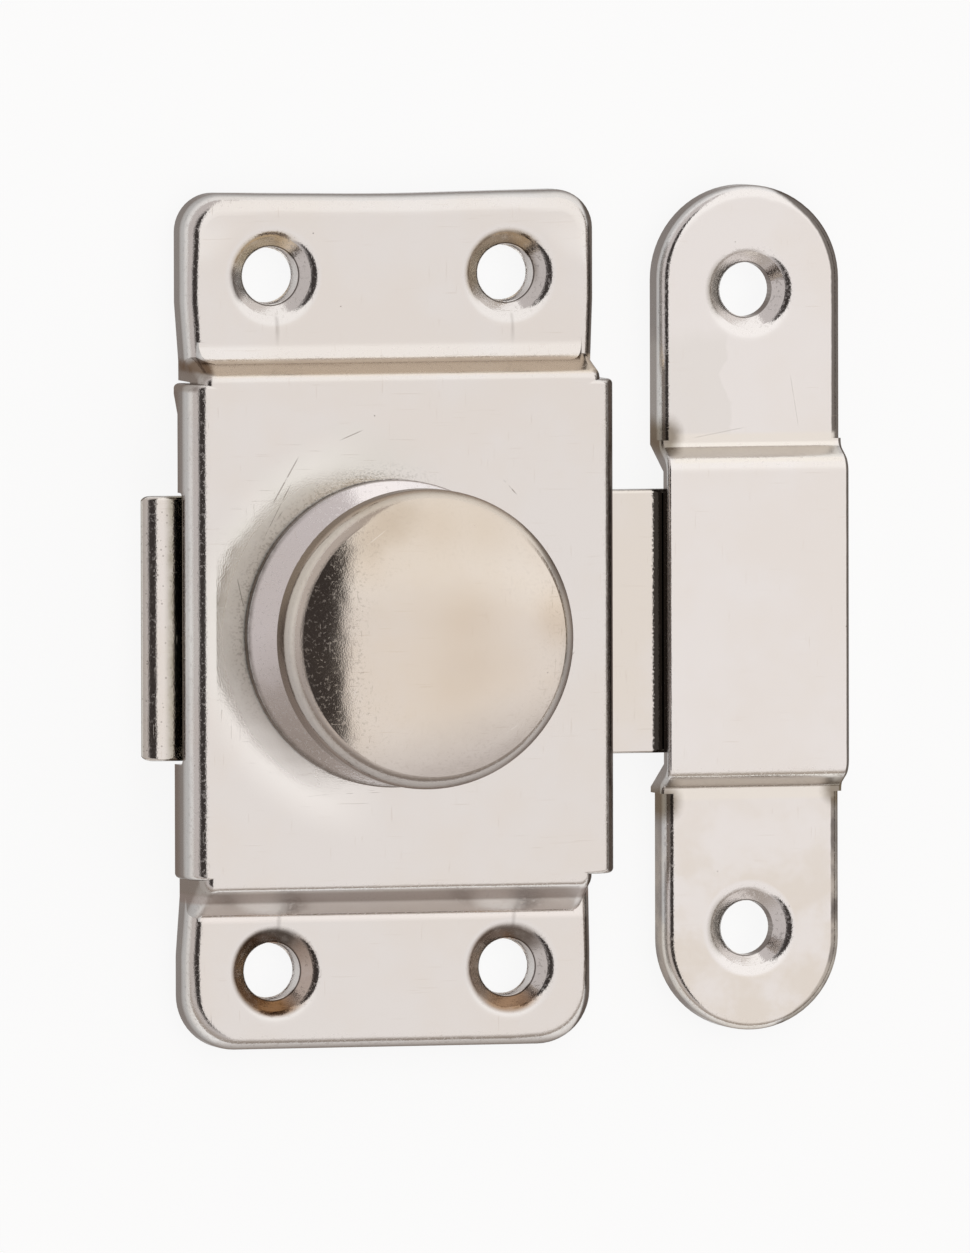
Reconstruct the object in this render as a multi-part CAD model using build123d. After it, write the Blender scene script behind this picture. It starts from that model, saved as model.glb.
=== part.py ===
from build123d import *
import os
from math import asin, cos, pi, radians, sin, sqrt, tan

# Cabinet door bolt, nickel-plated pressed steel, in millimetres.
# The back of the plates lies on Z = 0 and +Z points out of the door, to the knob.
# The origin is the middle of the case's four screw holes; +X points to the keep.
# The bolt is modelled thrown, with its tip under the keep.

# Case: two screw flanges with a raised panel between them
case_sheet = 1.0
case_half_width = 14.9
case_half_length = 30.0
case_low_end = 29.65
case_low_right = 14.6
case_top_corner = 2.7
case_low_corner = 3.8
case_end_hollow = 0.25
end_bend = 150.0
waist_left = 14.5
waist_top_right = 14.7
waist_low_right = 14.5
waist_length = 5.5
waist_bend = 4.0
flange_height = 2.9
flange_bend = 1.5
panel_height = 6.15
panel_width = 31.0
panel_top_length = 35.5
panel_side_bend = 1.9
ramp_left = 14.6
ramp_side_bend = 1.2
top_ramp_right = 14.4
top_ramp_slope = 70.0
top_crest_bend = 0.7
top_cove = 1.6
low_ramp_right = 13.75
low_ramp_slope = 56.0
low_crest_bend = 1.0
low_cove = 0.5
cove_root = 0.6
cove_end_inset = 0.5
cove_end_rise = 1.2
cove_end_bend = 2.0
case_hole_spacing_x = 17.0
case_hole_spacing_y = 48.4
case_hole = 4.0

# Foot of the side walls, with Y measured from the middle of the panel
wall_lift = 2.05
wall_high_lift = 3.0
wall_high_from = 15.1
wall_tip_from = 16.5
wall_top_end = 17.25
wall_low_end = 17.2
wall_plan_corner = 0.35
wall_corner = 0.4
relief_width = 0.06
relief_foot_width = 0.09
relief_height = 3.0

# The panel sits this far off the middle of the case
raise_offset = -0.4

# Keep: a strap with round ends and a bridge over the bolt's tip
keep_sheet = 1.2
keep_half_length = 29.6
keep_half_width = 6.6
keep_low_half_width = 6.4
keep_low_half_length = 29.45
keep_low_shift = 0.1
keep_height = 2.6
keep_bend = 1.0
keep_at = 26.15
keep_offset = 0.5
keep_hole_shift = -0.1
keep_hole_spacing = 44.6
keep_hole = 3.8
bridge_offset = -0.47
bridge_height = 4.5
bridge_top_length = 21.85
bridge_slope = 62.0
bridge_bend = 1.4
bridge_edge = 0.35
bridge_cove = 0.5
bridge_land = 0.1

# Dimples round the screw holes
dimple_slope = 41.0
dimple_knee = 1.2
dimple_knee_bend = 1.5
dimple_inner_bend = 0.4
dimple_land = 0.05
dimple_back_clearance = 0.45

# Bolt: a flat bar with a curled end to push and a turned-down tip
bolt_sheet = 1.5
bolt_width = 18.4
bolt_top = 3.1
bolt_curl = 2.3
bolt_curl_angle = 56.0
bolt_curl_at = -16.15
bolt_offset = -0.2
bolt_bend = 1.8
bolt_foot_clearance = 0.25
bolt_corner = 0.8
bolt_edge_round = 0.3
bolt_travel = 8.0
notch_side_clearance = 0.25
notch_top_clearance = 1.05
notch_corner = 0.5

# Knob: a domed cap rolled over a turned base
knob_at = -0.9
knob_offset = -0.6
foot_radius = 10.7
foot_lift = 0.12
foot_edge = 0.55
foot_slope_run = 2.9
foot_slope_rise = 2.9
neck_radius = 5.8
neck_blend = 2.4
cap_radius = 10.4
cap_sheet = 0.8
cap_bottom = 13.0
cap_side = 2.1
cap_dome_radius = 18.0
cap_rim_bend = 2.0
cap_edge_bend = 0.5
cap_lip = 1.9
base_disc_thickness = 0.9

# Stem rivet: a collar in the slot, with a peened tenon at each end
collar_radius = 2.3
tenon_radius = 1.5
tenon_clearance = 0.05
rivet_head_radius = 2.6
rivet_head = 0.8
slot_clearance = 0.2

# Friction spring: a bowed leaf across the bolt
spring_sheet = 0.3
spring_width = 6.5
spring_seat = 3.2
spring_reach = 9.0
spring_tip_gap = 0.12

# Small rounding for inside corners of the pressings
least_inside_bend = 0.2


# Shared shapes

def block(x_from, x_to, y_from, y_to, z_from, z_to):
    """A box given by its two corners."""
    size = Box(x_to - x_from, y_to - y_from, z_to - z_from)
    middle = Pos((x_from + x_to) / 2, (y_from + y_to) / 2, (z_from + z_to) / 2)
    return middle * size


def along_x(face, half_width):
    """A face drawn with X as Y and Y as Z, run along X both ways."""
    return extrude(Plane.YZ * face, half_width, both=True)


def plate_form(outline, height, bend):
    """A solid plate whose top edge is rolled down all round."""
    form = extrude(outline, height)
    return fillet(form.faces().sort_by(Axis.Z)[-1].edges(), bend)


def raised_profile(top_length, height, slope, inset):
    """The outline of a raised part seen along X, drawn in by the inset."""
    angle = radians(slope)
    half_top = top_length / 2 + inset / tan(angle) - inset / sin(angle)
    half_foot = half_top + (height - inset) / tan(angle)
    top = height - inset
    return Polygon((-half_foot, 0), (half_foot, 0), (half_top, top), (-half_top, top), align=None)


def ramp_edges(form):
    """Every edge of the sloping end, apart from those on the back plane."""
    ramps = [face for face in form.faces() if 0.5 < face.normal_at().Y < 0.99]
    return [edge for ramp in ramps for edge in ramp.edges() if edge.center().Z > 0.01]


def corner_at(section, x, y):
    """The corner of a flat section that lies at this point."""
    return [c for c in section.vertices() if abs(c.X - x) < 0.01 and abs(c.Y - y) < 0.01]


def dimple(hole, sheet, height):
    """A plug to take out of a flange, and the dimpled ring that goes in its place."""
    angle = radians(dimple_slope)
    hole_radius = hole / 2
    knee = hole_radius + dimple_knee
    rim = knee + dimple_knee_bend * tan(angle / 2) + dimple_land
    hole_top = height - dimple_knee * tan(angle)
    under_knee = knee + sheet * tan(angle / 2)
    slant = (height - dimple_back_clearance - sheet * cos(angle)) / sin(angle)
    under_foot = knee + sheet * sin(angle) - slant * cos(angle)
    section = Polygon(
        (rim, height),
        (knee, height),
        (hole_radius, hole_top),
        (hole_radius, dimple_back_clearance),
        (under_foot, dimple_back_clearance),
        (under_knee, height - sheet),
        (rim, height - sheet),
        align=None,
    )
    section = fillet(corner_at(section, knee, height), dimple_knee_bend)
    section = fillet(corner_at(section, under_knee, height - sheet), dimple_inner_bend)
    ring = revolve(Plane.XZ * section, Axis.Z)
    plug = Pos(0, 0, height / 2 - 1) * Cylinder(rim, height + 2)
    return plug, ring


# Case

notch_shift = bolt_offset - raise_offset
notch_half = bolt_width / 2 + notch_side_clearance
notch_top = bolt_top + notch_top_clearance


def case_outline(inset):
    """The case's outline: hollow at the top end, waisted at the ramps, narrower below."""
    side = case_half_width - inset
    low_side = case_low_right - inset
    top = case_half_length - inset
    low = -case_low_end + inset
    waist = waist_left - inset
    top_waist = waist_top_right - inset
    low_waist = waist_low_right - inset
    waist_top = raise_offset + wall_top_end
    waist_low = raise_offset - wall_low_end
    points = [
        (side, top, case_top_corner - inset),
        (0, top - case_end_hollow, end_bend),
        (-side, top, case_top_corner - inset),
        (-side, waist_top + waist_length, waist_bend),
        (-waist, waist_top, waist_bend),
        (-waist, waist_low, waist_bend),
        (-side, waist_low - waist_length, waist_bend),
        (-side, low, case_low_corner - inset),
        (low_side, low, case_low_corner - inset),
        (low_side, waist_low - waist_length, waist_bend),
        (low_waist, waist_low, waist_bend),
        (top_waist, waist_top, waist_bend),
        (side, waist_top + waist_length, waist_bend),
    ]
    outline = Polygon(*[(x, y) for x, y, bend in points], align=None)
    for x, y, bend in points:
        outline = fillet(corner_at(outline, x, y), bend)
    return outline


def cove_section(inset, slope, cove):
    """The concave corner where a ramp runs out into its flange, seen along X."""
    angle = radians(slope)
    low = flange_height - inset
    reach = cove * tan(angle / 2)
    foot = panel_top_length / 2 + inset / tan(angle) - inset / sin(angle)
    foot += (panel_height - flange_height) / tan(angle)
    wedge = Polygon(
        (foot - cove_root, low - cove_root / 2),
        (foot + reach, low - cove_root / 2),
        (foot + reach, low),
        (foot - reach * cos(angle), low + reach * sin(angle)),
        align=None,
    )
    return wedge - Pos(foot + reach, low + cove) * Circle(cove)


def cove_block(inset, slope, cove, half_width):
    """The cove along the foot of a ramp, with its ends rounded over like the flange's edges."""
    run = along_x(cove_section(inset, slope, cove), half_width)
    top = flange_height - inset + cove_end_rise
    cap = block(-half_width, half_width, 0, case_half_length, 0, top)
    sides = cap.faces().sort_by(Axis.Z)[-1].edges().filter_by(Axis.Y)
    return run & fillet(sides, cove_end_bend)


def ramp_block(inset, slope, crest_bend, cove, right_half_width):
    """The ramp at +Y and the panel behind it, with every edge but the foot rounded."""
    profile = raised_profile(panel_top_length, panel_height, slope, inset)
    profile &= Pos(case_half_length, 0) * Rectangle(2 * case_half_length, 4 * panel_height)
    left = ramp_left - inset
    right = right_half_width - inset
    panel = Pos((right - left) / 2, 0, 0) * along_x(profile, (left + right) / 2)
    sides = panel.faces().sort_by(Axis.Z)[-1].edges().filter_by(Axis.Y)
    panel = fillet(sides, ramp_side_bend - inset)
    panel = fillet(ramp_edges(panel), max(crest_bend - inset, least_inside_bend))
    run = cove_block(inset, slope, cove + inset, (left + right) / 2 - cove_end_inset)
    return panel + Pos((right - left) / 2, 0, 0) * run


def wall_block(inset):
    """The part of the panel between the reliefs, where its sides are folded right down."""
    half = panel_width / 2 - inset
    walls = block(-half, half, -wall_low_end, wall_top_end, 0, panel_height - inset)
    sides = walls.faces().sort_by(Axis.Z)[-1].edges().filter_by(Axis.Y)
    walls = fillet(sides, panel_side_bend - inset)
    if inset == 0:
        walls = fillet(walls.edges().filter_by(Axis.Z), wall_plan_corner)
    return walls


def case_form(inset):
    """The case as a solid block, drawn in by the inset on every side."""
    top = flange_height - inset
    flanges = plate_form(case_outline(inset), top, flange_bend - inset)
    upper = ramp_block(inset, top_ramp_slope, top_crest_bend, top_cove, top_ramp_right)
    lower = ramp_block(inset, low_ramp_slope, low_crest_bend, low_cove, low_ramp_right)
    lower = mirror(lower, Plane.XZ)
    form = Pos(0, -raise_offset, 0) * flanges + upper + lower + wall_block(inset)
    return Pos(0, raise_offset, 0) * form


def wall_cut():
    """What is cut away from the side walls: their foot, the bolt's notch and two reliefs."""
    low = -wall_low_end
    top = wall_top_end
    outline = Polygon(
        (low - relief_foot_width, -1),
        (low - relief_foot_width, 0),
        (low - relief_width, relief_height),
        (low, relief_height),
        (low, wall_lift),
        (notch_shift - notch_half, wall_lift),
        (notch_shift - notch_half, notch_top),
        (notch_shift + notch_half, notch_top),
        (notch_shift + notch_half, wall_high_lift),
        (wall_high_from, wall_high_lift),
        (wall_tip_from, wall_lift),
        (top, wall_lift),
        (top, relief_height),
        (top + relief_width, relief_height),
        (top + relief_foot_width, 0),
        (top + relief_foot_width, -1),
        align=None,
    )
    tops = [c for c in outline.vertices() if abs(c.Y - notch_top) < 0.01]
    outline = fillet(tops, notch_corner)
    tips = corner_at(outline, low, wall_lift) + corner_at(outline, top, wall_lift)
    outline = fillet(tips, wall_corner)
    return along_x(outline, panel_width)


def stem_slot():
    """The slot in the panel that the knob's stem slides along."""
    radius = collar_radius + slot_clearance
    length = bolt_travel + 2 * radius
    middle = Pos(knob_at - bolt_travel / 2, knob_offset, panel_height)
    return middle * extrude(SlotOverall(length, 2 * radius), case_sheet * 2, both=True)


def make_case():
    body = case_form(0) - case_form(case_sheet)
    body -= Pos(0, raise_offset, 0) * wall_cut()
    body -= stem_slot()
    plug, ring = dimple(case_hole, case_sheet, flange_height)
    for x in (-case_hole_spacing_x / 2, case_hole_spacing_x / 2):
        for y in (-case_hole_spacing_y / 2, case_hole_spacing_y / 2):
            body = body - Pos(x, y, 0) * plug + Pos(x, y, 0) * ring
    return body


# Keep

def bridge_profile(inset, cove):
    """The bridge and a little of the flanges seen along X, with rounded corners."""
    angle = radians(bridge_slope)
    top = bridge_height - inset
    low = keep_height - inset
    half_top = bridge_top_length / 2 + inset / tan(angle) - inset / sin(angle)
    half_foot = half_top + (top - low) / tan(angle)
    half_end = half_foot + cove * tan(angle / 2) + bridge_land
    profile = Polygon(
        (-half_end, 0),
        (half_end, 0),
        (half_end, low),
        (half_foot, low),
        (half_top, top),
        (-half_top, top),
        (-half_foot, low),
        (-half_end, low),
        align=None,
    )
    corners = corner_at(profile, half_top, top) + corner_at(profile, -half_top, top)
    profile = fillet(corners, bridge_bend - inset)
    corners = corner_at(profile, half_foot, low) + corner_at(profile, -half_foot, low)
    return fillet(corners, cove)


def keep_end(inset, end, shift, half_length, half_width):
    """One round-ended flange, as a solid block drawn in by the inset."""
    radius = half_width - inset
    length = 2 * (half_length - inset)
    outline = Pos(shift, 0, 0) * Rot(0, 0, 90) * SlotOverall(length, 2 * radius)
    flange = plate_form(outline, keep_height - inset, max(keep_bend - inset, least_inside_bend))
    half = sorted((0, end * keep_half_length))
    return flange & block(-2 * keep_half_width, 2 * keep_half_width, *half, -1, bridge_height)


def keep_form(inset, half_width, cove):
    """The keep as a solid block, drawn in by the inset, with its bridge this wide."""
    upper = keep_end(inset, 1, 0, keep_half_length, keep_half_width)
    lower = keep_end(inset, -1, keep_low_shift, keep_low_half_length, keep_low_half_width)
    bridge = along_x(bridge_profile(inset, cove), half_width)
    if inset == 0:
        rims = bridge.edges().filter_by(lambda e: abs(abs(e.center().X) - half_width) < 0.01)
        bridge = fillet(rims.filter_by(lambda e: e.center().Z > keep_height / 2 + 0.1), bridge_edge)
    return upper + lower + Pos(0, bridge_offset, 0) * bridge


def make_keep():
    inside = keep_half_width - keep_sheet
    body = keep_form(0, keep_half_width, bridge_cove)
    body -= keep_form(keep_sheet, inside, bridge_cove + keep_sheet)
    under = raised_profile(bridge_top_length, bridge_height, bridge_slope, keep_sheet)
    body -= Pos(0, bridge_offset, 0) * along_x(under, 2 * keep_half_width)
    plug, ring = dimple(keep_hole, keep_sheet, keep_height)
    for y in (-keep_hole_spacing / 2, keep_hole_spacing / 2):
        body = body - Pos(keep_hole_shift, y, 0) * plug + Pos(keep_hole_shift, y, 0) * ring
    return Pos(keep_at, keep_offset, 0) * body


# Bolt

bolt_left = bolt_curl_at - bolt_curl * sin(radians(bolt_curl_angle))
bolt_right = panel_width / 2 + bolt_travel


def curled_end():
    """The bar's left end seen along Y, curled down through part of a circle."""
    angle = radians(bolt_curl_angle)
    far = 3 * bolt_curl
    sector = Polygon(
        (0, 0),
        (0, far),
        (-far, far),
        (-far * sin(angle), far * cos(angle)),
        align=None,
    )
    ring = (Circle(bolt_curl) - Circle(bolt_curl - bolt_sheet)) & sector
    tips = [c for c in ring.vertices() if c.X < -0.1]
    return Pos(bolt_curl_at, bolt_top - bolt_curl) * fillet(tips, bolt_edge_round)


def make_bolt():
    """A bar with both ends turned down, rounded at its corners and along its edges."""
    low = bolt_foot_clearance
    under = bolt_top - bolt_sheet
    bar = Polygon(
        (bolt_curl_at, under),
        (bolt_curl_at, bolt_top),
        (bolt_right, bolt_top),
        (bolt_right, low),
        (bolt_right - bolt_sheet, low),
        (bolt_right - bolt_sheet, under),
        align=None,
    )
    bar = fillet(corner_at(bar, bolt_right, bolt_top), bolt_bend)
    bar = fillet(corner_at(bar, bolt_right - bolt_sheet, under), bolt_bend - bolt_sheet)
    half_width = bolt_width / 2
    bar = extrude(Plane.XZ * (bar + curled_end()), half_width, both=True)
    rims = bar.edges().filter_by(lambda e: abs(abs(e.center().Y) - half_width) < 0.01)
    bar = fillet(rims.filter_by(lambda e: e.center().Z > bolt_top - 0.01), bolt_edge_round)
    plan = RectangleRounded(bolt_right - bolt_left, bolt_width, bolt_corner)
    middle = (bolt_left + bolt_right) / 2
    bar = bar & (Pos(middle, 0, -1) * extrude(plan, bolt_top + 2))
    hole = Pos(knob_at, knob_offset, 0) * Cylinder(tenon_radius + tenon_clearance, 4 * bolt_top)
    return Pos(0, bolt_offset, 0) * bar - hole


# Knob

foot_bottom = panel_height + foot_lift
cap_lip_top = cap_bottom + cap_sheet
base_top = cap_lip_top + base_disc_thickness


def make_knob_base():
    """A turned base: a sloping foot, a neck and a disc that the cap is rolled round."""
    slope_in = foot_radius - foot_slope_run
    slope_top = foot_bottom + foot_edge + foot_slope_rise
    disc_radius = cap_radius - cap_sheet - tenon_clearance
    section = Polygon(
        (tenon_radius + tenon_clearance, foot_bottom),
        (foot_radius, foot_bottom),
        (foot_radius, foot_bottom + foot_edge),
        (slope_in, slope_top),
        (neck_radius, slope_top + (slope_in - neck_radius) * 1.6),
        (neck_radius, cap_lip_top),
        (disc_radius, cap_lip_top),
        (disc_radius, base_top),
        (tenon_radius + tenon_clearance, base_top),
        align=None,
    )
    shoulder = [c for c in section.vertices() if abs(c.X - slope_in) < 0.01]
    section = fillet(shoulder, neck_blend)
    neck = [
        c for c in section.vertices() if abs(c.X - neck_radius) < 0.01 and c.Y < cap_bottom
    ]
    section = fillet(neck, neck_blend / 2)
    rim = [
        c
        for c in section.vertices()
        if abs(c.X - foot_radius) < 0.01 and c.Y > foot_bottom + foot_edge / 2
    ]
    section = fillet(rim, foot_edge * 0.6)
    return Pos(knob_at, knob_offset, 0) * revolve(Plane.XZ * section, Axis.Z)


def dome_shell(inset):
    """The cap's outer form as a solid, drawn in by the inset."""
    radius = cap_radius - inset
    dome = cap_dome_radius - inset
    rim_angle = pi / 2 - asin(cap_radius / cap_dome_radius)
    corner = cap_bottom + cap_side + cap_rim_bend * tan(rim_angle / 2)
    centre = corner - sqrt(cap_dome_radius**2 - cap_radius**2)
    shoulder = centre + sqrt(dome**2 - radius**2)
    low = cap_bottom + inset
    crown = RadiusArc((radius, shoulder), (0, centre + dome), -dome)
    outline = Polyline((0, centre + dome), (0, low), (radius, low), (radius, shoulder))
    section = make_face(Curve() + [crown, outline])
    rim = [c for c in section.vertices() if abs(c.X - radius) < 0.01 and abs(c.Y - shoulder) < 0.01]
    section = fillet(rim, cap_rim_bend - inset)
    return section, radius, low


def make_knob_cap():
    """A deep-drawn cap whose lower edge is rolled in under the base's disc."""
    outer, radius, low = dome_shell(0)
    edge = [c for c in outer.vertices() if abs(c.X - radius) < 0.01 and abs(c.Y - low) < 0.01]
    outer = fillet(edge, cap_edge_bend)
    inner, _, _ = dome_shell(cap_sheet)
    mouth = Pos((cap_radius - cap_lip) / 2, cap_bottom) * Rectangle(cap_radius - cap_lip, 4 * cap_sheet)
    section = outer - inner - mouth
    return Pos(knob_at, knob_offset, 0) * revolve(Plane.XZ * section, Axis.Z)


def make_stem_rivet():
    """The shouldered rivet: a collar between the foot and the spring, peened at both ends."""
    seat = bolt_top + spring_sheet
    low = bolt_top - bolt_sheet
    section = Polygon(
        (0, low - rivet_head),
        (rivet_head_radius, low - rivet_head),
        (rivet_head_radius, low),
        (tenon_radius, low),
        (tenon_radius, seat),
        (collar_radius, seat),
        (collar_radius, foot_bottom),
        (tenon_radius, foot_bottom),
        (tenon_radius, base_top),
        (rivet_head_radius, base_top),
        (rivet_head_radius, base_top + rivet_head),
        (0, base_top + rivet_head),
        align=None,
    )
    heads = [
        c
        for c in section.vertices()
        if abs(c.X - rivet_head_radius) < 0.01
        and (c.Y < low - rivet_head / 2 or c.Y > base_top + rivet_head / 2)
    ]
    section = fillet(heads, rivet_head * 0.7)
    return Pos(knob_at, knob_offset, 0) * revolve(Plane.XZ * section, Axis.Z)


def make_friction_spring():
    """A leaf clamped on the bolt by the rivet, both arms bowed up towards the case."""
    tip = panel_height - case_sheet - spring_tip_gap
    run = spring_reach - spring_seat
    rise = tip - bolt_top - spring_sheet
    arms = []
    for side in (-1, 1):
        low = (side * spring_seat, bolt_top)
        end = (side * spring_reach, bolt_top + rise)
        half = (side * (spring_seat + run / 2), bolt_top + rise / 2)
        under = Spline(low, half, end, tangents=((side, 0), (side, 0)))
        over = Pos(0, spring_sheet) * under
        ends = [Line(under @ 0, over @ 0), Line(under @ 1, over @ 1)]
        arms.append(make_face(Curve() + [under, over] + ends))
    seat = Pos(0, bolt_top + spring_sheet / 2) * Rectangle(2 * spring_seat, spring_sheet)
    leaf = along_x(seat + arms[0] + arms[1], spring_width / 2)
    leaf -= Cylinder(tenon_radius + tenon_clearance, 4 * bolt_top)
    return Pos(knob_at, knob_offset, 0) * leaf


# Writing

os.makedirs("parts", exist_ok=True)
pieces = {
    "case": make_case(),
    "keep": make_keep(),
    "bolt": make_bolt(),
    "knob_base": make_knob_base(),
    "knob_cap": make_knob_cap(),
    "stem_rivet": make_stem_rivet(),
    "friction_spring": make_friction_spring(),
}
for name, piece in pieces.items():
    export_step(piece, f"parts/{name}.step")
    print(name, "volume", round(piece.volume, 2), "solids", len(piece.solids()))
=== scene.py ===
from math import hypot, pi

import bpy
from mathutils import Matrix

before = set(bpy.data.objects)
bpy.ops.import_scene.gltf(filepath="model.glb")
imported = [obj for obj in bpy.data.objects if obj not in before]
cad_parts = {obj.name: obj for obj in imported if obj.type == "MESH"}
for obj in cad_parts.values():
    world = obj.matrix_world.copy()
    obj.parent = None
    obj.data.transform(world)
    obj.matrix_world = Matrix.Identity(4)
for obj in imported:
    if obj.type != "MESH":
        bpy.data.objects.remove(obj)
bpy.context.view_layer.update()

# The studio. The bolt lies on its back on a plain white table, as it would before it is
# screwed on, and the camera looks down on it through a long lens.

TABLE_DROP = 0.00002
TABLE_HALF = 3.0
TABLE_WHITE = (0.93, 0.925, 0.92, 1.0)
TABLE_GLOW = 0.88


class Tap:
    """A shader socket that can be used in arithmetic, with the material it belongs to."""

    def __init__(self, maker, socket):
        self.maker = maker
        self.socket = socket

    def math(self, operation, *others, **more):
        values = {0: self}
        values.update({place + 1: other for place, other in enumerate(others)})
        return self.maker.node("ShaderNodeMath", {"operation": operation, **more}, values)

    def __add__(self, other):
        return self.math("ADD", other)

    def __radd__(self, other):
        return self.math("ADD", other)

    def __sub__(self, other):
        return self.math("SUBTRACT", other)

    def __rsub__(self, other):
        return self.maker.node("ShaderNodeMath", {"operation": "SUBTRACT"}, {0: other, 1: self})

    def __mul__(self, other):
        return self.math("MULTIPLY", other)

    def __rmul__(self, other):
        return self.math("MULTIPLY", other)

    def __truediv__(self, other):
        return self.math("DIVIDE", other)

    def __rtruediv__(self, other):
        return self.maker.node("ShaderNodeMath", {"operation": "DIVIDE"}, {0: other, 1: self})

    def __pow__(self, other):
        return self.math("POWER", other)

    def __abs__(self):
        return self.math("ABSOLUTE")

    def clip(self):
        return self.math("ADD", 0.0, use_clamp=True)

    def rise(self, low, high, bottom=0.0, top=1.0):
        """Smooth step: bottom below low, top above high."""
        return self.maker.node(
            "ShaderNodeMapRange",
            {"interpolation_type": "SMOOTHSTEP"},
            {"Value": self, "From Min": low, "From Max": high, "To Min": bottom, "To Max": top},
        )


class Maker:
    """Adds nodes to one node tree."""

    def __init__(self, tree):
        self.tree = tree
        self.tree.nodes.clear()

    def node(self, kind, settings=None, values=None, out=0):
        made = self.tree.nodes.new(kind)
        for name, value in (settings or {}).items():
            if name == "stops":
                ramp = made.color_ramp
                while len(ramp.elements) < len(value):
                    ramp.elements.new(0.5)
                for element, (place, colour) in zip(ramp.elements, value):
                    element.position = place
                    element.color = colour
            else:
                setattr(made, name, value)
        for name, value in (values or {}).items():
            socket = made.inputs[name]
            if isinstance(value, Tap):
                self.tree.links.new(value.socket, socket)
            else:
                socket.default_value = value
        return Tap(self, made.outputs[out]) if made.outputs else None

    def mix(self, factor, low, high, blend="MIX"):
        """A colour mix."""
        return self.node(
            "ShaderNodeMix",
            {"data_type": "RGBA", "blend_type": blend},
            {0: factor, 6: low, 7: high},
            out=2,
        )


def new_material(name):
    material = bpy.data.materials.new(name)
    material.use_nodes = True
    return material, Maker(material.node_tree)


bpy.ops.object.select_all(action="DESELECT")
bpy.ops.mesh.primitive_plane_add(size=2 * TABLE_HALF, location=(0, 0, -TABLE_DROP))
table = bpy.context.object
table.name = "table"
paper, maker = new_material("white_table")
ray = "ShaderNodeLightPath"
seen = maker.node(ray, out="Is Camera Ray") + maker.node(ray, out="Is Glossy Ray")
seen = seen + maker.node(ray, out="Is Transmission Ray")
plain = maker.node("ShaderNodeBsdfDiffuse", None, {"Color": TABLE_WHITE})
glow = maker.node("ShaderNodeEmission", None, {"Color": (1.0, 1.0, 1.0, 1.0), "Strength": 1.0})
surface = maker.node("ShaderNodeMixShader", None, {0: seen.clip() * TABLE_GLOW, 1: plain, 2: glow})
maker.node("ShaderNodeOutputMaterial", None, {"Surface": surface})
table.data.materials.append(paper)

# Soft light from all round. A wide tent is overhead, brightest at the far end, a narrow gap is
# open between it and a paler screen low on the left, and the near end and the far right are dim.

TENT = (0.93, 0.89, 0.87, 1.0)
FAR_END = (1.06, 1.03, 1.01, 1.0)
GAP = (0.045, 0.038, 0.036, 1.0)
SCREEN = (0.60, 0.56, 0.55, 1.0)
RIGHT_END = (0.22, 0.18, 0.15, 1.0)
NEAR_END = (0.42, 0.37, 0.335, 1.0)
FAR_EDGE = (4.0, 34.0)
TENT_EDGE = (-32.0, -26.0)
SCREEN_EDGE = (0.44, 0.62)
RIGHT_EDGE = (76.0, 87.0)
RIGHT_STOP = (0.60, 0.35)
NEAR_EDGE = (-80.0, -58.0)

world = bpy.data.worlds.new("studio")
bpy.context.scene.world = world
world.use_nodes = True
maker = Maker(world.node_tree)
way = maker.node("ShaderNodeTexCoord", out="Generated")
spread = "ShaderNodeSeparateXYZ"
across = maker.node(spread, None, {0: way}, out="X")
along = maker.node(spread, None, {0: way}, out="Y")
height = maker.node(spread, None, {0: way}, out="Z")
turn = across.math("ARCTAN2", height) * (180 / pi)
nod = along.math("ARCTAN2", height) * (180 / pi)
tent = maker.mix(nod.rise(*FAR_EDGE), TENT, FAR_END)
light = maker.mix(height.rise(*SCREEN_EDGE), SCREEN, GAP)
light = maker.mix(turn.rise(*TENT_EDGE), light, tent)
light = maker.mix(turn.rise(*RIGHT_EDGE) * along.rise(*RIGHT_STOP), light, RIGHT_END)
light = maker.mix(nod.rise(*NEAR_EDGE), NEAR_END, light)
backdrop = maker.node(ray, out="Is Camera Ray")
light = maker.mix(backdrop, light, (1.0, 1.0, 1.0, 1.0))
sky = maker.node("ShaderNodeBackground", None, {"Color": light, "Strength": 1.0})
maker.node("ShaderNodeOutputWorld", None, {"Surface": sky})

# The camera stands 2.2 m off, 16 degrees to the left of the knob's axis and 3 degrees above it, with
# a long lens, so that the near knob and the far plates are seen at almost the same scale.

CAMERA_PLACE = (-0.59995007, 0.10685905, 2.11392851)
CAMERA_RIGHT = (0.96106957, -0.00219586, 0.27629776)
CAMERA_UP = (0.01558341, 0.99880755, -0.04626711)
CAMERA_BACK = (-0.27586669, 0.04877157, 0.95995776)
CAMERA_AWAY = 2.2
SEEN_HEIGHT = 0.08726076
FILM = 24.0

eye = bpy.data.cameras.new("camera")
eye.sensor_fit = "VERTICAL"
eye.sensor_height = FILM
eye.sensor_width = FILM
eye.lens = CAMERA_AWAY / SEEN_HEIGHT * FILM
eye.clip_start = 0.1
eye.clip_end = 20.0
camera = bpy.data.objects.new("camera", eye)
bpy.context.scene.collection.objects.link(camera)
rows = [
    [CAMERA_RIGHT[axis], CAMERA_UP[axis], CAMERA_BACK[axis], CAMERA_PLACE[axis]]
    for axis in range(3)
]
camera.matrix_world = [list(column) for column in zip(*(rows + [[0.0, 0.0, 0.0, 1.0]]))]
bpy.context.scene.camera = camera
bpy.context.scene.view_settings.view_transform = "Standard"

# The case: one piece of 1 mm steel, pressed over its panel and dimpled round its four holes, then
# plated in satin nickel. The plating is warm and nearly white on top, with painted shade on the steep
# sides, walls and lower edge and painted reflections on the ramps; rust has started in the dimples,
# and the face round the knob is rubbed and scratched, with painted light and a painted reflection
# of the knob beside it.

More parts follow.
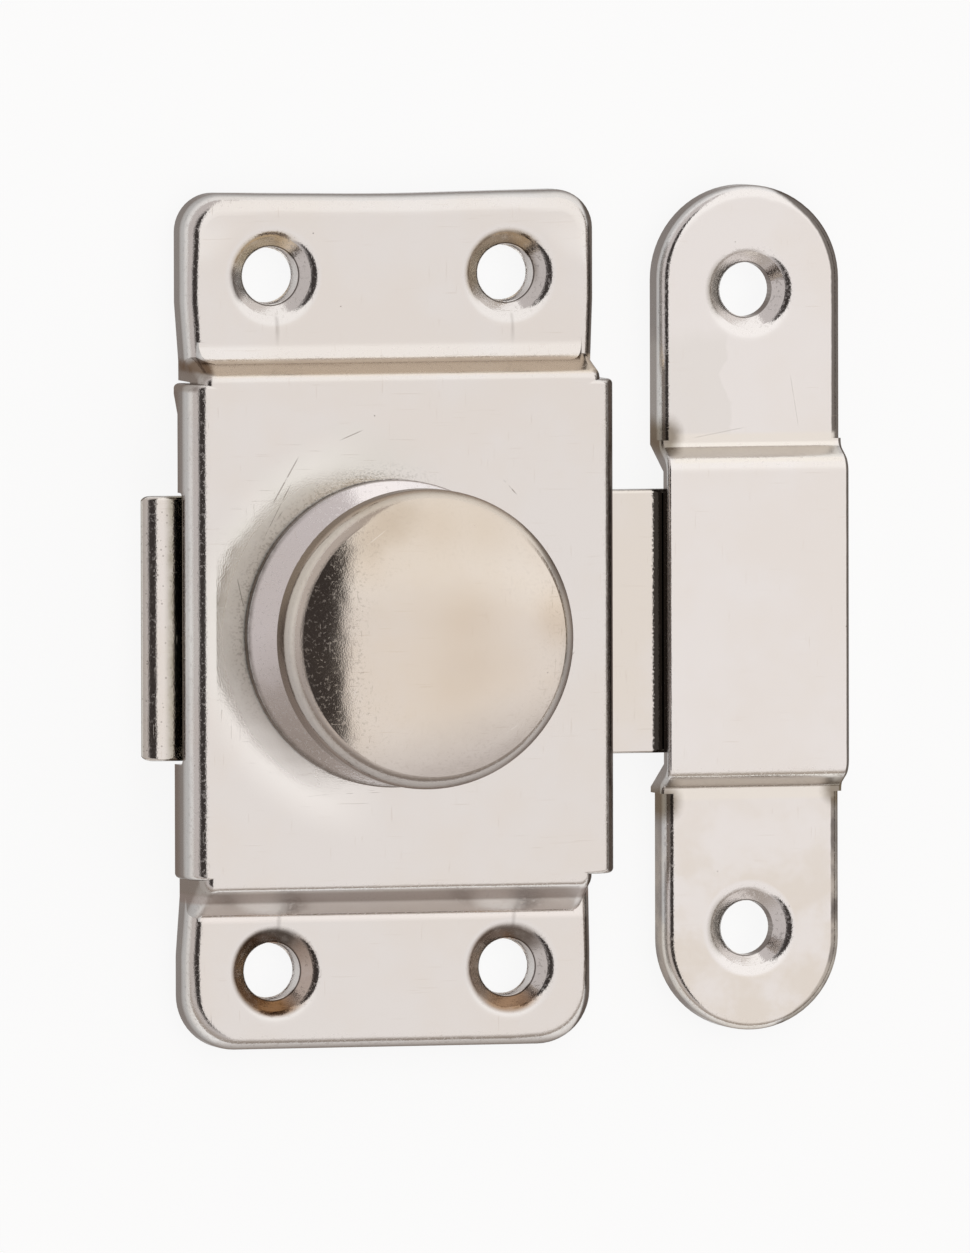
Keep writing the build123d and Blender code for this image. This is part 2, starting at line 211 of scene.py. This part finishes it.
MILLIMETRES = (1000.0, 1000.0, 1000.0)
# dark colour painted on upright and right-facing faces as shade
PAINTED_SHADE_DARK = (0.085, 0.068, 0.056, 1.0)
EDGE_TINT = (0.42, 0.38, 0.36, 1.0)
TAN_SHARE = (0.70, 0.60, 0.50)
# share of the face colour painted on steep faces as shade
STEEP_SHADE_SHARE = 0.62
PIT_BROWN = (0.20, 0.165, 0.14, 1.0)
PEEL_HEIGHT = 0.000004
RIPPLE_HEIGHT = 0.00004
PIT_DEPTH = 0.000015
HAIR_DEPTH = 0.000002


def noise(maker, place, scale, detail, shift, rough=0.5, stretch=(1.0, 1.0, 1.0)):
    """Cloudy noise; the scale is in waves a millimetre."""
    moved = maker.node(
        "ShaderNodeVectorMath", {"operation": "MULTIPLY_ADD"}, {0: place, 1: stretch, 2: shift}
    )
    values = {"Vector": moved, "Scale": scale, "Detail": detail, "Roughness": rough}
    return maker.node("ShaderNodeTexNoise", None, values)


def share(maker, way, direction):
    """How far a vector points in a direction."""
    return maker.node("ShaderNodeVectorMath", {"operation": "DOT_PRODUCT"}, {0: way, 1: direction}, out=1)


def from_point(maker, place, point):
    """The way from a point to each place, in the plane of the door."""
    start = tuple(-part for part in point) + (0.0,)
    return maker.node(
        "ShaderNodeVectorMath", {"operation": "MULTIPLY_ADD"}, {0: place, 1: (1.0, 1.0, 0.0), 2: start}
    )


def length(maker, way):
    return maker.node("ShaderNodeVectorMath", {"operation": "LENGTH"}, {0: way}, out=1)


def specks(maker, place, scale, size, few):
    """Small round pits; few is the share of places without one."""
    values = {"Vector": place, "Scale": scale, "Randomness": 1.0}
    spot = maker.node("ShaderNodeTexVoronoi", {"feature": "F1"}, values)
    lot = maker.node("ShaderNodeTexVoronoi", {"feature": "F1"}, values, out="Color")
    chance = maker.node("ShaderNodeSeparateColor", None, {0: lot}, out="Red")
    return (1.0 - spot.rise(size * scale * 0.5, size * scale)) * chance.rise(few, few + 0.01)


def scratch(maker, place, start, end, width):
    """A fine scratch from one point to another on a face."""
    far = hypot(end[0] - start[0], end[1] - start[1])
    run = ((end[0] - start[0]) / far, (end[1] - start[1]) / far, 0.0)
    way = from_point(maker, place, start)
    done = share(maker, way, run)
    aside = abs(share(maker, way, (-run[1], run[0], 0.0)))
    return (1.0 - aside.rise(width * 0.3, width)) * done.rise(-0.2, 0.5) * (1.0 - done.rise(far - 0.6, far))


def stain(maker, place, point, inner, outer, direction, reach, blur=0.5):
    """Dirt round a point between two radii, on the side that the direction gives."""
    way = from_point(maker, place, point)
    away = length(maker, way)
    side = share(maker, way, direction) / (away + 0.001)
    ring = away.rise(inner - 0.05, inner + 0.05) * (1.0 - away.rise(outer - blur, outer))
    return ring * side.rise(*reach)


def nickel(name, face, warm, seed, roughness=0.12, grain=1.0, side_shade=1.0, far=0.50, marks=None, wear=None):
    """Satin nickel plate: grain, pits, hairlines, matt flecks on bent parts, painted shade on steep, upright
    and right-facing sides, marks.
    """
    material, maker = new_material(name)
    place = maker.node("ShaderNodeTexCoord", out="Object")
    place = maker.node("ShaderNodeVectorMath", {"operation": "MULTIPLY"}, {0: place, 1: MILLIMETRES})
    facing = maker.node("ShaderNodeNewGeometry", out="Normal")
    steep = abs(maker.node(spread, None, {0: facing}, out="Z"))
    right = maker.node(spread, None, {0: facing}, out="X")

    cloud = noise(maker, place, 0.07, 3.0, (seed, 3.1, 7.7))
    veil = noise(maker, place, 0.24, 4.0, (seed, 5.3, 1.9), 0.6)
    mottle = noise(maker, place, 1.4, 3.0, (seed, 0.7, 4.4), 0.6)
    tint = (cloud * 0.6 + veil * 0.4).rise(0.42, 0.62) * 0.6
    colour = maker.mix(tint, face, warm)
    tan = tuple(part * scale for part, scale in zip(face[:3], TAN_SHARE)) + (1.0,)
    # Steep faces are given a darker copy of the face colour, painted shade.
    dull = tuple(part * STEEP_SHADE_SHARE for part in face[:3]) + (1.0,)
    colour = maker.mix((steep + (veil - 0.5) * 0.12).rise(0.34, 0.62), dull, colour)
    # Nearly upright faces are painted dark, painted shade; the sooty argument sets how much.
    upright_shade = (steep + (veil - 0.5) * 0.06).rise(0.14, 0.02) * side_shade
    colour = maker.mix(upright_shade, colour, PAINTED_SHADE_DARK)
    # Faces turned to the right are painted dark too, painted shade; far sets the tilt where it starts.
    right_side_shade = (right + (mottle - 0.5) * 0.10).rise(far, far + 0.14) * right.rise(0.95, 0.75, 0.7, 1.0)
    colour = maker.mix(right_side_shade * 0.88, colour, PAINTED_SHADE_DARK)

    hairs = noise(maker, place, 1.0, 1.0, (seed, 2.2, 0.4), 0.5, (0.35, 9.0, 1.0))
    across = noise(maker, place, 1.0, 1.0, (seed, 8.2, 3.4), 0.5, (7.0, 0.5, 1.0))
    hairs = hairs.rise(0.70, 0.76) + across.rise(0.72, 0.78)
    pits = specks(maker, place, 0.55, 0.055, 0.72) + specks(maker, place, 0.24, 0.10, 0.90)
    colour = maker.mix(hairs.clip() * 0.14, colour, tan)
    colour = maker.mix(pits.clip() * 0.7, colour, PIT_BROWN)
    if marks:
        colour = marks(maker, place, colour, veil, mottle)

    flecks = noise(maker, place, 4.5, 1.0, (seed, 6.1, 2.8), 0.6).rise(0.56, 0.68) * steep.rise(0.985, 0.94)
    rough = roughness + (veil - 0.5) * 0.08 + (mottle - 0.5) * 0.04 + pits * 0.2 + flecks * (0.2 * grain)
    rough = rough + steep.rise(0.72, 0.58) * steep.rise(0.30, 0.42) * 0.2
    peel = noise(maker, place, 10.5, 0.0, (seed, 1.3, 0.2))
    ripple = noise(maker, place, 0.3, 2.0, (seed, 0.5, 6.1))
    relief = peel * (PEEL_HEIGHT * grain) + ripple * RIPPLE_HEIGHT - pits * PIT_DEPTH - hairs * HAIR_DEPTH
    if wear:
        sunk, worn = wear(maker, place)
        relief = relief - sunk
        rough = rough + worn
    bump = maker.node("ShaderNodeBump", None, {"Strength": 1.0, "Distance": 1.0, "Height": relief})
    shader = maker.node(
        "ShaderNodeBsdfPrincipled",
        None,
        {
            "Base Color": colour,
            "Metallic": 1.0,
            "Roughness": rough,
            "Specular Tint": EDGE_TINT,
            "Normal": bump,
        },
    )
    maker.node("ShaderNodeOutputMaterial", None, {"Surface": shader})
    return material


def dress(node, material):
    """Gives a CAD node its finish."""
    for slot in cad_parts[node].material_slots:
        slot.material = material


CASE_HOLE = 2.0
DIMPLE = 3.3
DIRTY_BROWN = (0.15, 0.088, 0.045, 1.0)
DARK_BROWN = (0.06, 0.042, 0.03, 1.0)
STRAW = (0.47, 0.385, 0.26, 1.0)
RUST = (0.36, 0.20, 0.09, 1.0)
PINK_TAN = (0.60, 0.48, 0.40, 1.0)
UP_LEFT, UP_RIGHT = (-8.5, 24.2), (8.5, 24.2)
LOW_LEFT, LOW_RIGHT = (-8.5, -24.2), (8.5, -24.2)
CASE_HOLES = (UP_LEFT, UP_RIGHT, LOW_LEFT, LOW_RIGHT)
CASE_STAINS = [
    (UP_LEFT, DIMPLE, (-0.45, 0.89, 0.0), (0.30, 0.85), STRAW, 0.85),
    (UP_LEFT, DIMPLE, (-0.97, -0.2, 0.0), (0.86, 0.97), DARK_BROWN, 0.7),
    (UP_RIGHT, DIMPLE, (-0.6, 0.8, 0.0), (-0.25, 0.45), (0.34, 0.27, 0.19, 1.0), 0.9),
    (UP_RIGHT, 2.5, (0.5, 0.6, 0.0), (0.1, 0.6), (0.24, 0.19, 0.14, 1.0), 0.7),
    (LOW_LEFT, DIMPLE, (-0.85, -0.5, 0.0), (-0.45, 0.1), DIRTY_BROWN, 0.96),
    (LOW_LEFT, DIMPLE, (0.1, 1.0, 0.0), (0.1, 0.7), DARK_BROWN, 0.85),
    (LOW_LEFT, DIMPLE, (0.0, -1.0, 0.0), (0.75, 1.0), RUST, 0.7),
    (LOW_LEFT, DIMPLE, (1.0, -0.1, 0.0), (0.3, 0.8), PINK_TAN, 0.7),
    (LOW_RIGHT, DIMPLE, (-0.9, -0.4, 0.0), (-0.35, 0.2), (0.23, 0.165, 0.12, 1.0), 0.92),
    (LOW_RIGHT, DIMPLE, (0.0, 1.0, 0.0), (0.3, 0.8), (0.15, 0.115, 0.095, 1.0), 0.8),
    (LOW_RIGHT, DIMPLE, (0.1, -1.0, 0.0), (0.6, 0.95), (0.44, 0.29, 0.18, 1.0), 0.8),
]
CASE_SCRATCHES = [
    ((-7.68, 11.72), (-9.59, 8.41), 0.07),
    ((-8.8, 8.0), (-9.3, 7.35), 0.06),
    ((-8.2, 9.9), (-10.2, 6.1), 0.04),
    ((7.1, 10.0), (8.2, 8.8), 0.06),
    ((11.8, -2.6), (12.4, -1.9), 0.06),
    ((-4.6, 12.9), (-2.9, 13.6), 0.05),
    ((-12.1, 3.4), (-11.6, 1.2), 0.05),
]
KNOB_PLACE = (-0.9, -0.6)
KNOB_EDGE = 10.7
GREEN_STAIN_AND_REFLECTION = (0.66, 0.67, 0.58, 1.0)
RUBBED_AND_PAINTED_LIGHT = (0.97, 0.955, 0.93, 1.0)
RAMP_TAN_AND_REFLECTION = (0.84, 0.72, 0.58, 1.0)
BARE_EDGE = (0.98, 0.975, 0.965, 1.0)
WALL_SHADE_DARK = (0.30, 0.262, 0.24, 1.0)
CASE_FACE = (0.80, 0.775, 0.755, 1.0)
CASE_WARM = (0.79, 0.745, 0.70, 1.0)
CREST_DARK_REFLECTION = (0.38, 0.31, 0.28, 1.0)
FOOT_PAINTED_LIGHT = (0.94, 0.90, 0.87, 1.0)
LOW_EDGE_SHADE = (0.36, 0.31, 0.28, 1.0)
NOTCH_SHADE_BROWN = (0.34, 0.30, 0.27, 1.0)
RUB_DARK = (0.24, 0.22, 0.18, 1.0)
SCRATCH_DARK = (0.22, 0.19, 0.16, 1.0)
BLOTCH_PLACE = (-14.1, 17.9)
CASE_CORNERS = ((-15.0, 30.0), (15.0, 30.0), (-15.0, -29.8), (14.8, -29.8))
DISH_DEPTH = 0.0007
RUBBED_ROUGH = 0.22


def case_wear(maker, place):
    """The corners of the flanges, dished a little by the press, and the face rubbed matt by the knob."""
    sunk = 0.0
    for point in CASE_CORNERS:
        sunk = length(maker, from_point(maker, place, point)).rise(6.0, 1.2) * DISH_DEPTH + sunk
    way = from_point(maker, place, KNOB_PLACE)
    left = share(maker, way, (-1.0, 0.0, 0.0)).rise(1.0, 8.0)
    return sunk, length(maker, way).rise(KNOB_EDGE + 2.5, KNOB_EDGE + 1.0) * left * RUBBED_ROUGH


def case_marks(maker, place, colour, veil, mottle):
    """Rust and dirt in the dimples, a dirty blotch, a tan upper ramp that is partly painted reflection,
    painted reflection and painted light on the lower ramp, painted shade on the walls, notches and lower
    edge, painted light and a green-grey stain with painted reflection by the knob, and scratches.
    """
    up = share(maker, place, (0.0, 1.0, 0.0))
    left = share(maker, place, (-1.0, 0.0, 0.0))
    # A tan band on the upper ramp, partly staining and partly painted reflection.
    ramp = up.rise(17.2, 17.5) * up.rise(18.6, 18.3) * left.rise(14.1, 13.3)
    colour = maker.mix(ramp * 0.75, colour, RAMP_TAN_AND_REFLECTION)
    # A dark band painted along the lower ramp's crest, a painted reflection.
    lower_crest_reflection = up.rise(-19.5, -19.2) * up.rise(-18.4, -18.7)
    colour = maker.mix(lower_crest_reflection * 0.6, colour, CREST_DARK_REFLECTION)
    # The foot of the lower ramp is painted paler, painted light against the dark reflection there.
    foot = up.rise(-20.9, -20.5) * up.rise(-19.2, -19.5) * abs(left).rise(14.4, 13.4)
    colour = maker.mix(foot * 0.85, colour, FOOT_PAINTED_LIGHT)
    # The case's lower edge is painted darker, painted shade.
    colour = maker.mix(up.rise(-28.8, -29.4) * 0.6, colour, LOW_EDGE_SHADE)
    blotch = length(maker, from_point(maker, place, BLOTCH_PLACE)) + (veil - 0.5) * 1.2
    colour = maker.mix(blotch.rise(0.9, 0.3) * 0.8, colour, DIRTY_BROWN)
    # The lower part of the left and right walls is painted dark, painted shade.
    tall = share(maker, place, (0.0, 0.0, 1.0))
    wall_shade = abs(left).rise(15.2, 15.45) * tall.rise(4.6, 2.4)
    colour = maker.mix(wall_shade, colour, WALL_SHADE_DARK)
    # Brown painted shade at the left wall's corners under the ramps, over a bright reflection there.
    notch_shade = left.rise(13.4, 14.0) * abs(abs(up + 0.6) - 17.55).rise(0.75, 0.45) * tall.rise(5.9, 5.6)
    colour = maker.mix(notch_shade * 0.8, colour, NOTCH_SHADE_BROWN)
    for point in CASE_HOLES:
        away = length(maker, from_point(maker, place, point))
        colour = maker.mix(away.rise(3.6, 3.3), colour, CASE_FACE)
        colour = maker.mix(away.rise(CASE_HOLE + 0.03, CASE_HOLE + 0.01), colour, BARE_EDGE)
    for point, outer, direction, reach, shade, strength in CASE_STAINS:
        patch = stain(maker, place, point, CASE_HOLE + 0.06, outer, direction, reach)
        colour = maker.mix(patch * (0.55 + mottle * 0.9).clip() * strength, colour, shade)
    for point in CASE_HOLES:
        away = length(maker, from_point(maker, place, point))
        rim = away.rise(CASE_HOLE + 0.02, CASE_HOLE + 0.05) * away.rise(CASE_HOLE + 0.15, CASE_HOLE + 0.09)
        colour = maker.mix(rim * 0.85, colour, DARK_BROWN)
        streak = from_point(maker, place, (point[0] + 0.25, point[1]))
        aside = abs(share(maker, streak, (1.0, 0.0, 0.0))) + (veil - 0.5) * 0.3
        down = share(maker, streak, (0.0, -1.0 if point[1] > 0 else 1.0, 0.0))
        smear = aside.rise(0.24, 0.0) * down.rise(2.6, 3.0) * down.rise(5.2, 3.6)
        colour = maker.mix(smear * 0.22, colour, DARK_BROWN)
    way = from_point(maker, place, KNOB_PLACE)
    away = length(maker, way)
    side = share(maker, way, (-0.80, 0.60, 0.0)) / (away + 0.001)
    # A paler ring left of the knob: rubbed plating, and painted light against the knob's dark reflection.
    ring = away.rise(KNOB_EDGE + 4.6, KNOB_EDGE + 1.0) * share(maker, way, (-1.0, 0.0, 0.0)).rise(0.0, 7.0)
    colour = maker.mix(ring * 0.9, colour, RUBBED_AND_PAINTED_LIGHT)
    # A green-grey patch at the knob's upper left, partly stain and partly a painted reflection of the knob.
    patch = (1.0 - (away + (veil - 0.5) * 5.0).rise(KNOB_EDGE + 0.2, KNOB_EDGE + 5.0)) * side.rise(0.25, 0.9)
    colour = maker.mix(patch * 0.35, colour, GREEN_STAIN_AND_REFLECTION)
    speckle = noise(maker, place, 5.0, 2.0, (3.3, 0.2, 0.9), 0.6)
    rub = away.rise(KNOB_EDGE + 1.6, KNOB_EDGE) * side.rise(0.2, 0.8) * speckle.rise(0.50, 0.62)
    colour = maker.mix(rub * 0.35, colour, RUB_DARK)
    for start, end, width in CASE_SCRATCHES:
        line = scratch(maker, place, start, end, width) * mottle.rise(0.30, 0.5)
        colour = maker.mix(line * 0.6, colour, SCRATCH_DARK)
    return colour


case_nickel = nickel(
    "case_nickel", CASE_FACE, CASE_WARM, 0.0, grain=0.9, side_shade=0.2, marks=case_marks, wear=case_wear
)
dress("case", case_nickel)

# The keep: a strap of 1.2 mm steel with round ends, bridged to clear the bolt's tip and plated like
# the case. It is the whitest piece, with one dull patch beside its bridge and clean dimples.

KEEP_FACE = (0.85, 0.825, 0.81, 1.0)
KEEP_WARM = (0.83, 0.79, 0.75, 1.0)
KEEP_HOLE = 1.9
KEEP_HOLES = ((25.95, 22.8), (25.95, -21.8))
KEEP_CORNERS = ((19.9, 12.6), (19.8, -12.9), (32.5, -12.3))
KEEP_DIMPLE = 3.2
PATCH_GREY = (0.72, 0.70, 0.66, 1.0)
LOW_STRAW_SHADE = (0.76, 0.70, 0.62, 1.0)
KEEP_RAMP = (0.86, 0.82, 0.76, 1.0)
CORNER_SHADE_BROWN = (0.20, 0.16, 0.11, 1.0)
DIMPLE_DIRT = (0.30, 0.27, 0.22, 1.0)
FAINT_GREY = (0.45, 0.42, 0.38, 1.0)
KEEP_SCRATCHES = [
    ((25.6, 13.2), (21.8, 12.5), 0.05),
    ((29.0, 16.8), (29.6, 13.1), 0.04),
]


def keep_marks(maker, place, colour, veil, mottle):
    """A dull patch, grey dirt on the near side of the dimples, straw-coloured painted shade below and
    painted shade in the bridge's corners.
    """
    across = share(maker, place, (1.0, 0.0, 0.0))
    reach = across + (veil - 0.5) * 3.2
    up = share(maker, place, (0.0, 1.0, 0.0))
    patch = reach.rise(24.5, 24.2) * up.rise(12.4, 13.0) * (up + (veil - 0.5) * 4.0).rise(20.4, 18.6)
    colour = maker.mix(patch * 0.3, colour, PATCH_GREY)
    # The lower end is painted darker and straw-coloured, painted shade.
    low = 1.0 - up.rise(-22.0, -8.0)
    colour = maker.mix(low * veil.rise(0.38, 0.62) * 0.6, colour, LOW_STRAW_SHADE)
    ramp = abs(up - 0.03).rise(10.7, 10.95) * abs(up - 0.03).rise(12.95, 12.6)
    middle = abs(across - 26.15).rise(6.3, 5.9)
    colour = maker.mix(ramp * middle * 0.85, colour, KEEP_RAMP)
    # Dark brown painted shade in the corners where the bridge rises from the strap.
    for point in KEEP_CORNERS:
        away = length(maker, from_point(maker, place, point)) + (veil - 0.5) * 1.4
        colour = maker.mix(away.rise(1.7, 0.5) * 0.8, colour, CORNER_SHADE_BROWN)
    for point in KEEP_HOLES:
        away = length(maker, from_point(maker, place, point))
        colour = maker.mix(away.rise(3.5, KEEP_DIMPLE), colour, KEEP_FACE)
        colour = maker.mix(away.rise(KEEP_HOLE + 0.03, KEEP_HOLE + 0.01), colour, BARE_EDGE)
        dirt = stain(maker, place, point, KEEP_HOLE + 0.06, KEEP_DIMPLE, (-1.0, 0.1, 0.0), (0.55, 0.95))
        colour = maker.mix(dirt * 0.6, colour, DIMPLE_DIRT)
        rim = away.rise(KEEP_HOLE, KEEP_HOLE + 0.03) * away.rise(KEEP_HOLE + 0.13, KEEP_HOLE + 0.08)
        colour = maker.mix(rim * 0.7, colour, DARK_BROWN)
    for start, end, width in KEEP_SCRATCHES:
        line = scratch(maker, place, start, end, width) * mottle.rise(0.30, 0.5)
        colour = maker.mix(line * 0.3, colour, FAINT_GREY)
    return colour


# The keep's right-facing faces take that painted shade from a lower tilt.
dress("keep", nickel("keep_nickel", KEEP_FACE, KEEP_WARM, 17.0, side_shade=0.3, far=0.18, marks=keep_marks))

# The bolt: a flat bar of 1.5 mm strip with its left end curled down to push on. It is the coarsest
# surface, pitted all over, with greenish painted shadow where it runs in under the case and black
# painted shade where it meets the keep.

BOLT_FACE = (0.81, 0.775, 0.745, 1.0)
BOLT_WARM = (0.79, 0.735, 0.66, 1.0)
TIP_GREY = (0.58, 0.55, 0.49, 1.0)
OLIVE_SHADOW = (0.24, 0.22, 0.14, 1.0)
KEEP_SHADOW_BLACK = (0.022, 0.017, 0.013, 1.0)
BITE_DARK = (0.12, 0.10, 0.085, 1.0)


def bolt_marks(maker, place, colour, veil, mottle):
    """Olive painted shadow beside the case, black painted shade at the keep and a bitten surface at the
    curled end.
    """
    reach = share(maker, place, (1.0, 0.0, 0.0))
    end = 1.0 - reach.rise(-15.4, -13.0)
    colour = maker.mix(reach.rise(-17.5, -17.8) * 0.5, colour, TIP_GREY)
    # Olive painted shadow where the bolt runs in under the case's wall.
    case_wall_shadow = reach.rise(-16.6, -15.9) * end
    colour = maker.mix(case_wall_shadow * (0.3 + mottle) * 0.8, colour, OLIVE_SHADOW)
    # A black band painted where the bolt runs in under the keep, painted shade and reflection of the bridge.
    crumbs = noise(maker, place, 7.0, 2.0, (2.1, 7.4, 0.6), 0.7)
    keep_shadow = (reach + (crumbs - 0.5) * 0.5).rise(18.75, 18.9)
    colour = maker.mix(keep_shadow * 0.97, colour, KEEP_SHADOW_BLACK)
    bites = specks(maker, place, 3.2, 0.09, 0.45) * end
    return maker.mix(bites * 0.4, colour, BITE_DARK)


dress("bolt", nickel("bolt_nickel", BOLT_FACE, BOLT_WARM, 31.0, 0.10, 0.8, marks=bolt_marks))

# The knob's cap: deep-drawn steel, plated, and rolled in round the base's disc. Years of heat and
# fingers have tinted the dome like straw, and it is the smoothest and most handled piece.

DOME_SCRATCHES = [
    ((-7.6, 4.9), (-9.2, 1.6), 0.05),
    ((-6.8, -3.6), (-7.7, -6.4), 0.04),
    ((-5.9, 6.1), (-4.4, 7.2), 0.05),
    ((4.1, -7.0), (5.2, -6.3), 0.05),
    ((-8.8, -1.2), (-7.2, -0.3), 0.04),
]
TINTED = [
    ((-4.4, 7.2), 2.8, 0.5),
    ((-6.0, 5.2), 2.6, 0.45),
    ((-1.0, 7.4), 3.0, 0.50),
    ((2.6, 7.2), 3.0, 0.30),
    ((7.8, 1.0), 3.0, 0.50),
    ((0.9, 1.0), 4.2, 0.36),
    ((0.2, -3.2), 4.0, 0.32),
    ((3.4, -2.2), 3.6, 0.22),
]
BROWNED = [
    ((-4.6, 7.6), 2.4, 0.6),
    ((-3.0, 8.2), 1.9, 0.4),
    ((-5.8, 6.2), 1.8, 0.5),
]
ORANGE_TAN = (0.66, 0.54, 0.41, 1.0)
BROWN_TAN = (0.45, 0.35, 0.24, 1.0)
UPPER_STRAW = (0.64, 0.565, 0.48, 1.0)
LOWER_SHADE_GREY = (0.56, 0.52, 0.495, 1.0)
RIM_SHADE_GREY = (0.42, 0.38, 0.355, 1.0)
BRIGHT_SCRATCH = (0.90, 0.87, 0.83, 1.0)


def cap_marks(maker, place, colour, veil, mottle):
    """Heat tints at the upper left, the right and the middle, painted shade on the lower side and lower rim,
    and scratches.
    """
    for point, reach, strength in TINTED:
        away = length(maker, from_point(maker, place, point)) + (veil - 0.5) * 3.0
        colour = maker.mix(away.rise(reach, 0.0) * strength, colour, ORANGE_TAN)
    for point, reach, strength in BROWNED:
        away = length(maker, from_point(maker, place, point)) + (veil - 0.5) * 2.0
        colour = maker.mix(away.rise(reach, 0.0) * strength, colour, BROWN_TAN)
    way = from_point(maker, place, KNOB_PLACE)
    high = (share(maker, way, (-0.2, 1.0, 0.0)) + (veil - 0.5) * 2.0).rise(0.0, 8.0)
    colour = maker.mix(high * 0.5, colour, UPPER_STRAW)
    # The lower side of the dome and its lower rim are painted greyer, painted shade.
    low = share(maker, way, (0.25, -1.0, 0.0)) + (veil - 0.5) * 2.0
    colour = maker.mix(low.rise(4.0, 9.6) * 0.8, colour, LOWER_SHADE_GREY)
    rim = length(maker, way).rise(9.5, 9.7) * low.rise(-6.0, 3.0)
    colour = maker.mix(rim * 0.7, colour, RIM_SHADE_GREY)
    for start, end, width in DOME_SCRATCHES:
        line = scratch(maker, place, start, end, width) * mottle.rise(0.30, 0.5)
        colour = maker.mix(line * 0.2, colour, BRIGHT_SCRATCH)
    return colour


CAP_FACE = (0.77, 0.71, 0.645, 1.0)
CAP_WARM = (0.76, 0.675, 0.575, 1.0)
cap_nickel = nickel("cap_nickel", CAP_FACE, CAP_WARM, 49.0, grain=0.7, side_shade=0.6, marks=cap_marks)
dress("knob_cap", cap_nickel)

# The knob's base: a turned foot and neck under the cap, plated a little greyer, with a dirty edge
# where it slides on the case, and painted shade along that edge and on its lower left side.

BASE_FACE = (0.87, 0.83, 0.83, 1.0)
BASE_WARM = (0.84, 0.79, 0.77, 1.0)
EDGE_DIRT_AND_SHADE = (0.16, 0.14, 0.12, 1.0)
SIDE_SHADE_BROWN = (0.34, 0.29, 0.25, 1.0)


def base_marks(maker, place, colour, veil, mottle):
    """Dirt and painted shade along the foot's edge, darkest at the lower left, and painted shade on the
    lower left side.
    """
    way = from_point(maker, place, KNOB_PLACE)
    away = length(maker, way)
    left = share(maker, way, (-0.94, -0.34, 0.0)) / (away + 0.001)
    # Dirt and painted shade along the foot's edge on its left.
    edge = away.rise(10.35, 10.6) * left.rise(-0.1, 0.7)
    colour = maker.mix(edge * (0.2 + mottle).clip() * 0.85, colour, EDGE_DIRT_AND_SHADE)
    # The lower left side is painted browner, painted shade.
    side = share(maker, way, (-0.55, -0.83, 0.0)) / (away + 0.001)
    return maker.mix(side.rise(0.45, 0.95) * (0.3 + veil) * 0.5, colour, SIDE_SHADE_BROWN)


dress("knob_base", nickel("base_nickel", BASE_FACE, BASE_WARM, 63.0, 0.15, side_shade=0.3, marks=base_marks))

# The rivet that joins knob and bolt: a shouldered pin of bare turned steel, peened over in the knob's
# base and on the bolt. It is out of sight in the slot, so it has only the turned steel's plain grey.

RIVET_FACE = (0.58, 0.56, 0.54, 1.0)
RIVET_WARM = (0.52, 0.48, 0.44, 1.0)
dress("stem_rivet", nickel("rivet_steel", RIVET_FACE, RIVET_WARM, 88.0, 0.32))

# The friction spring: a bowed leaf of blued spring steel, clamped on the bolt under the rivet's
# collar, where it drags on the underside of the panel. It is out of sight under the case.

SPRING_BLUE = (0.20, 0.22, 0.28, 1.0)
SPRING_BROWN = (0.26, 0.22, 0.20, 1.0)
dress("friction_spring", nickel("spring_steel", SPRING_BLUE, SPRING_BROWN, 94.0, 0.3))
